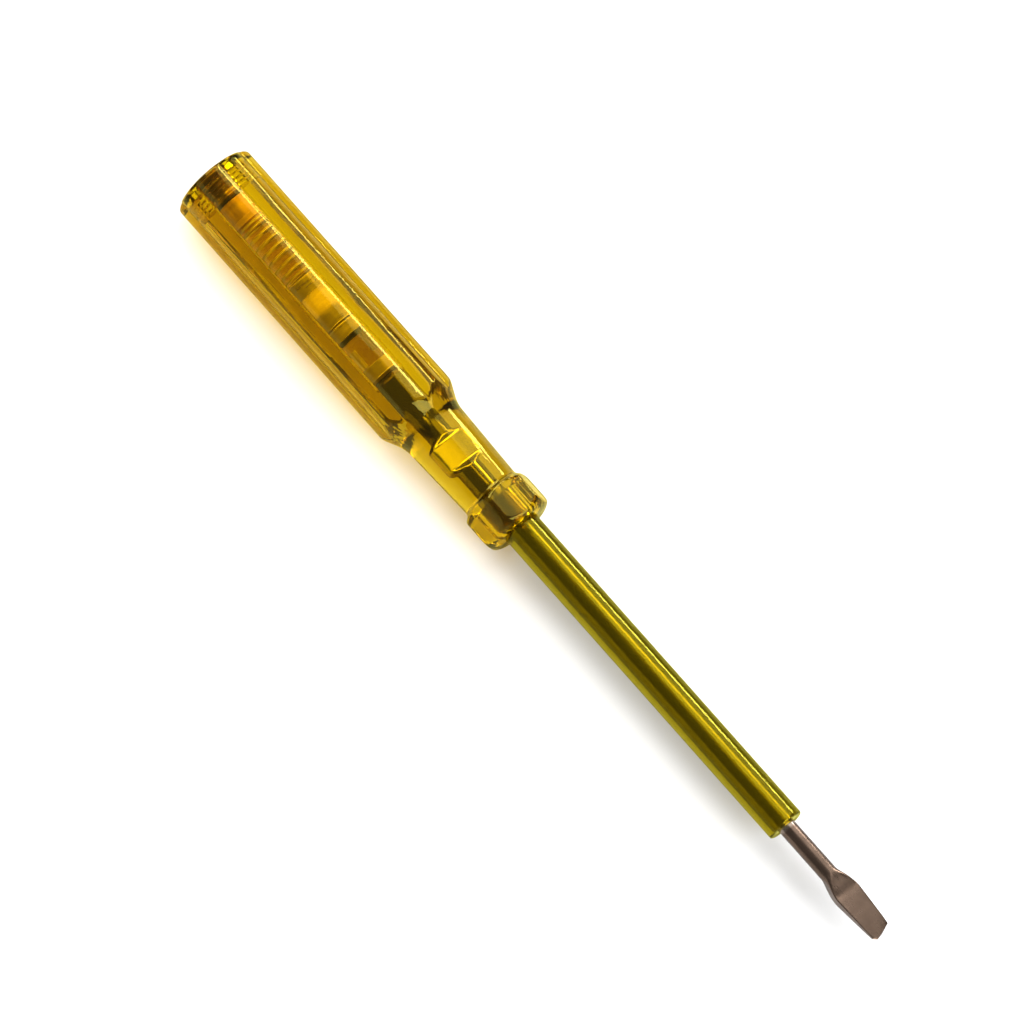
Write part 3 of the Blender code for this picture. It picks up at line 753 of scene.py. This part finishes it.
def makeCap(name, node, facing, bodyRadius, material):
    start, end = spanOf(node)
    closed, opened = (start, end) if facing > 0 else (end, start)
    radius, bore = reachOf(node), bodyRadius + cell["fit"]
    wall = closed + facing * cell["endWall"]
    outline = [(closed, 0), (closed, radius, cell["edge"]), (opened, radius, cell["lipEdge"]),
               (opened, bore, cell["lipEdge"]), (wall, bore, cell["floorEdge"]), (wall, 0)]
    addPiece(name, turned(name, roundCorners(outline), cell["segments"]), material, "handle", "nickel", node)


def makeRod(name, node, material, slot, edge, segments):
    start, end = spanOf(node)
    low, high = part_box(node)
    offset = (low.y + high.y) / 2 / mm
    radius = reachOf(node)
    outline = [(start, 0), (start, radius, edge), (end, radius, edge), (end, 0)]
    body = turned(name, roundCorners(outline), segments, offset=offset)
    addPiece(name, body, material, "handle", slot, node)


def ceramic():
    material, tree, shader = newMaterial("resistorCeramic")
    grain = noiseAt(tree, ceramicLook["grainScale"], detail=6)
    feed(tree, shader.inputs["Base Color"], mixColours(
        tree, rangeOf(tree, grain, 0.35, 0.7, 0, 1), (*ceramicLook["pale"], 1), (*ceramicLook["dark"], 1)))
    feed(tree, shader.inputs["Roughness"], rangeOf(tree, grain, 0.3, 0.7, 0.35, 0.6))
    bumpFrom(tree, shader, grain, ceramicLook["grainDepth"])
    return material


def lampGlass():
    material, tree, shader = newMaterial("lampGlass")
    shader.inputs["IOR"].default_value = glassLook["ior"]
    shader.inputs["Transmission Weight"].default_value = 1
    shader.inputs["Base Color"].default_value = (*glassLook["colour"], 1)
    patches = noiseAt(tree, glassLook["patchScale"])
    feed(tree, shader.inputs["Roughness"], rangeOf(
        tree, patches, 0.3, 0.8, 0.0, glassLook["patchRoughness"]))
    return material


def makeResistorAndLamp():
    nickel = metal("capNickel", nickelLook)
    rod = metal("electrodeNickel", dict(nickelLook, colour=(0.45, 0.42, 0.38), roughness=0.3))
    resistorRadius, glassRadius = reachOf("resistor_body"), reachOf("lamp_glass")
    makeCap("resistorCapRear", "resistor_cap_rear", 1, resistorRadius, nickel)
    makeCap("resistorCapFront", "resistor_cap_front", -1, resistorRadius, nickel)
    makeRod("resistorRod", "resistor_body", ceramic(), "resistor_body", cell["rodEdge"], cell["segments"])
    makeCap("lampCapRear", "lamp_cap_rear", 1, glassRadius, nickel)
    makeCap("lampCapFront", "lamp_cap_front", -1, glassRadius, nickel)
    for end in ("rear", "front"):
        side, segments = end.title(), cell["leadSegments"]
        makeRod("lampElectrode" + side, "lamp_electrode_" + end, rod, "nickel", cell["electrodeEdge"],
                segments)
        makeRod("lampLead" + side, "lamp_lead_" + end, rod, "nickel", cell["leadEdge"], segments)
    start, end = spanOf("lamp_glass")
    wall, bend, hole = glassPiece["wall"], glassPiece["round"], glassPiece["hole"]
    outline = [(start, hole, 0.1), (start, glassRadius, bend), (end, glassRadius, bend), (end, hole, 0.1),
               (end - wall, hole, 0.1), (end - wall, glassRadius - wall, bend - wall),
               (start + wall, glassRadius - wall, bend - wall), (start + wall, hole, 0.1)]
    body = turned("lampEnvelope", roundCorners(outline, True), cell["segments"], True)
    addPiece("lampEnvelope", body, lampGlass(), "handle", "lamp_glass", "lamp_glass")


makeResistorAndLamp()
print("resistor and lamp made")


# Blade and sleeve

blade = {
    "shaft": 1.75, "rearEdge": 0.3, "straight": 1, "wingsMiddle": 70.0, "wingsLength": 8.0,
    "wingsRamp": 1.5, "wingsWidth": 5.8, "wingsThick": 2.0, "tipLength": 9.9, "tipWidth": 4.2,
    "tipThick": 0.7, "flareLength": 5.4, "flareWidth": 5.4, "flareThick": 2.0, "tipSkew": 1.3,
    "cornerWear": 0.9, "cornerShare": 0.5, "wornLength": 4.0, "roundPower": 2, "wingsPower": 6,
    "flatPower": 14, "wingsSteps": 6, "flareSteps": 16, "tipSteps": 12, "crispAngle": 30,
    "segments": 96,
}
bladeLook = {
    "colour": (0.124, 0.084, 0.061), "dull": (0.09, 0.061, 0.044), "roughness": 0.2,
    # Where each stretch ends, its colour and its roughness: under the sleeve, in the neck, on the wings
    # that are pressed out of it, and behind them. The colours are lit and shaded copies of the steel: the
    # pale wings and the lighter steel under the sleeve are painted highlight, and the neck and the stretch
    # behind the wings get a darker copy as painted shade
    "paintedLightStretches": ((163.5, (0.36, 0.30, 0.25), 0.22), (80, (0.20, 0.165, 0.13), 0.14),
                  (73.5, (0.62, 0.53, 0.40), 0.2), (66.5, (0.20, 0.165, 0.13), 0.14)),
    "fade": 0.7, "hiddenMarks": 0.1, "markRoughness": 0.08, "dullRoughness": 0.1,
    "markScale": 1500, "markStretch": (0.1, 1, 1), "patchScale": 260, "markDepth": 0.00002,
}
sleeve = {"steelCore": 0.6, "edge": 0.5, "rearEdge": 0.2, "edgeSteps": 8, "segments": 160}
sleeveLook = {
    "ior": 1.47, "surface": (0.78, 0.655, 0.003), "sheen": (1.0, 0.88, 0.3), "tintShare": 0.88,
    "passing": (0.62, 0.54, 0.5),
    "boreRadius": 0, "boreRoughness": 0, "clean": 0.05, "rubbed": 0.2, "rubScale": 1100,
    "rippleScale": 300, "rippleDepth": 0.00003, "rubHeight": 0.08,
    "absorb": (0.907, 0.900, 0.0), "density": 2500,
}


# How far the worn tip stands back: its edge runs aslant, and its left corner is knocked off
def wornAt(fromTip, across):
    share = max(-1, min(1, across / (blade["tipWidth"] / 2)))
    corner = -blade["cornerShare"]
    if share > corner:
        back = blade["tipSkew"] * (share - corner) / (1 - corner)
    else:
        back = blade["cornerWear"] * (corner - share) / (1 + corner)
    return back * max(0, 1 - fromTip / blade["wornLength"]) ** 2


def makeBlade():
    steel = metal("bladeSteel", bladeLook)
    # Lighter and darker copies of the steel along the blade: painted highlight and painted shade
    for place, colour, roughness in bladeLook["paintedLightStretches"]:
        recolourFinishAndLight(steel, place - bladeLook["fade"], place + bladeLook["fade"], (*colour, 1), roughness,
                 bladeLook["hiddenMarks"])
    rear, tip = spanOf("blade")
    shaft, power = blade["shaft"], blade["roundPower"]
    wingRear, wingFront = (blade["wingsMiddle"] + side * blade["wingsLength"] / 2 for side in (-1, 1))
    stations = [(rear, 0.3, 0.3, power), (rear, shaft - blade["rearEdge"], shaft - blade["rearEdge"], power),
                (rear + blade["rearEdge"], shaft, shaft, power),
                (rear + blade["straight"], shaft, shaft, power)]
    ramp = blade["wingsRamp"]
    marks = [(wingRear, 0), (wingRear + ramp, 1), (wingFront - ramp, 1), (wingFront, 0)]
    for (first, low), (second, high) in zip(marks, marks[1:]):
        for step in range(blade["wingsSteps"] + 1):
            share = step / blade["wingsSteps"]
            flat = low + (high - low) * (1 - math.cos(math.pi * share)) / 2
            stations.append((first + (second - first) * share,
                             shaft + (blade["wingsWidth"] / 2 - shaft) * flat,
                             shaft + (blade["wingsThick"] / 2 - shaft) * flat,
                             power + (blade["wingsPower"] - power) * flat))
    flare = tip - blade["tipLength"] - blade["flareLength"]
    stations.append((flare - blade["straight"], shaft, shaft, power))
    for step in range(blade["flareSteps"] + 1):
        share = step / blade["flareSteps"]
        ease = (1 - math.cos(math.pi * share)) / 2
        stations.append((flare + blade["flareLength"] * share,
                         shaft + (blade["flareWidth"] / 2 - shaft) * ease,
                         shaft + (blade["flareThick"] / 2 - shaft) * ease,
                         power + (blade["flatPower"] - power) * ease))
    for step in range(1, blade["tipSteps"] + 1):
        share = step / blade["tipSteps"]
        stations.append((tip - blade["tipLength"] * (1 - share),
                         (blade["flareWidth"] + (blade["tipWidth"] - blade["flareWidth"]) * share) / 2,
                         (blade["flareThick"] + (blade["tipThick"] - blade["flareThick"]) * share) / 2,
                         blade["flatPower"]))
    stations.append((tip, 0.1, 0.02, blade["flatPower"]))
    rings = []
    for along, wide, thick, squareness in stations:
        ring = []
        for step in range(blade["segments"]):
            angle = math.tau * (step + 0.5) / blade["segments"]
            across, up = (math.copysign(abs(value) ** (2 / squareness), value)
                          for value in (math.cos(angle), math.sin(angle)))
            ring.append((along - wornAt(tip - along, wide * across), wide * across, thick * up))
        rings.append(ring)
    rings = [[(stations[0][0], 0, 0)], *rings, [(tip - wornAt(0, 0), 0, 0)]]
    body = skinRings("bladeShank", rings)
    body.set_sharp_from_angle(angle=math.radians(blade["crispAngle"]))
    addPiece("bladeShank", body, steel, "handle", "blade_steel", "blade")


def makeSleeve():
    yellow = clearPlastic("yellowSleeve", sleeveLook)
    start, end = spanOf("blade_sleeve")
    radius = reachOf("blade_sleeve")
    outline = [(start, sleeve["steelCore"]), (start, radius, sleeve["rearEdge"]),
               (end, radius, sleeve["edge"]), (end, sleeve["steelCore"])]
    outline = roundCorners(outline, True, sleeve["edgeSteps"])
    body = turned("sleeveTube", outline, sleeve["segments"], True)
    addPiece("sleeveTube", body, yellow, "handle", "yellow_plastic", "blade_sleeve")


makeBlade()
makeSleeve()
print("blade and sleeve made")


# Floor, light and camera

studio = {
    "floorSize": 6, "floorColour": (0.6, 0.6, 0.6), "floorRoughness": 0.9, "worldStrength": 0.35,
    "backdrop": 0.85, "display": "Standard",
    # Name, place, width and height, and watts of each lamp
    "lamps": (
        ("tipSoftbox", (0.95, 0.15, 0.85), (1.0, 1.0), 27),
        ("rearSoftbox", (-1.05, 0.15, 0.75), (1.0, 1.0), 27),
        ("rightPanel", (-0.2, 0.8, 0.42), (0.3, 0.16), 3.5),
        ("topPanel", (-0.2, 0.6, 0.9), (0.4, 1.3), 5),
    ),
}
# Pixels for size, rear and tip, degrees for tilt and roll, metres for distance and reach, and
# millimetres for the sensor
photo = {
    "size": 1024, "rear": (208.9, 176), "tip": (878.9, 930), "tilt": 12, "roll": 22.5, "distance": 1.5,
    "sensor": 36, "reach": 20,
}


def makeFloor():
    mesh = bpy.data.meshes.new("floor")
    half = studio["floorSize"] / 2
    corners = [(-half, -half, 0), (half, -half, 0), (half, half, 0), (-half, half, 0)]
    mesh.from_pydata(corners, [], [(0, 1, 2, 3)])
    floor = bpy.data.objects.new("floor", mesh)
    bpy.context.scene.collection.objects.link(floor)
    material, tree, shader = newMaterial("floorPaper")
    shader.inputs["Base Color"].default_value = (*studio["floorColour"], 1)
    shader.inputs["Roughness"].default_value = studio["floorRoughness"]
    mesh.materials.append(material)


def aimAt(item, target):
    item.rotation_mode = "QUATERNION"
    item.rotation_quaternion = (Vector(target) - item.location).to_track_quat("-Z", "Y")


def makeLights():
    world = bpy.data.worlds.new("softRoom")
    world.use_nodes = True
    back = world.node_tree.nodes["Background"]
    back.inputs["Color"].default_value = (1, 1, 1, 1)
    # The camera sees the backdrop brighter than the light that it gives
    rays = world.node_tree.nodes.new("ShaderNodeLightPath")
    feed(world.node_tree, back.inputs["Strength"], rangeOf(
        world.node_tree, rays.outputs["Is Camera Ray"], 0, 1, studio["worldStrength"], studio["backdrop"]))
    bpy.context.scene.world = world
    # The standard display keeps the amber's full colour, as in the photograph
    bpy.context.scene.view_settings.view_transform = studio["display"]
    for name, place, size, power in studio["lamps"]:
        lamp = bpy.data.lights.new(name, "AREA")
        lamp.shape, lamp.size, lamp.size_y, lamp.energy = "RECTANGLE", size[0], size[1], power
        item = bpy.data.objects.new(name, lamp)
        item.location = place
        bpy.context.scene.collection.objects.link(item)
        aimAt(item, (0, 0, axisZ))


# Stands the camera so that the handle's rear and the tip fall where the photograph has them
def makeCamera():
    tilt, roll = math.radians(photo["tilt"]), math.radians(photo["roll"])
    side = Vector((0, -math.sin(roll), math.cos(roll)))
    back = math.sin(tilt) * Vector((1, 0, 0)) + math.cos(tilt) * side
    alongView = (Vector((1, 0, 0)) - math.sin(tilt) * back).normalized()
    acrossView = back.cross(alongView)
    stepX, stepY = (photo["tip"][i] - photo["rear"][i] for i in (0, 1))
    reach = math.hypot(stepX, stepY)
    right = alongView * (stepX / reach) + acrossView * (stepY / reach)
    up = right.cross(back) * -1
    scale = reach / ((tipX - rearX) * math.cos(tilt))               # pixels for each metre
    middle = Vector(((rearX + tipX) / 2, 0, axisZ))
    offX = (photo["tip"][0] + photo["rear"][0]) / 2 - photo["size"] / 2
    offY = (photo["tip"][1] + photo["rear"][1]) / 2 - photo["size"] / 2
    target = middle - right * (offX / scale) + up * (offY / scale)
    data = bpy.data.cameras.new("photoCamera")
    data.sensor_width = photo["sensor"]
    data.lens = scale * photo["distance"] * photo["sensor"] / photo["size"]
    data.clip_end = photo["reach"]
    camera = bpy.data.objects.new("photoCamera", data)
    turn = Matrix((right, up, back)).transposed()
    camera.matrix_world = Matrix.Translation(target + back * photo["distance"]) @ turn.to_4x4()
    bpy.context.scene.collection.objects.link(camera)
    bpy.context.scene.camera = camera


makeFloor()
makeLights()
makeCamera()
print("stage set")
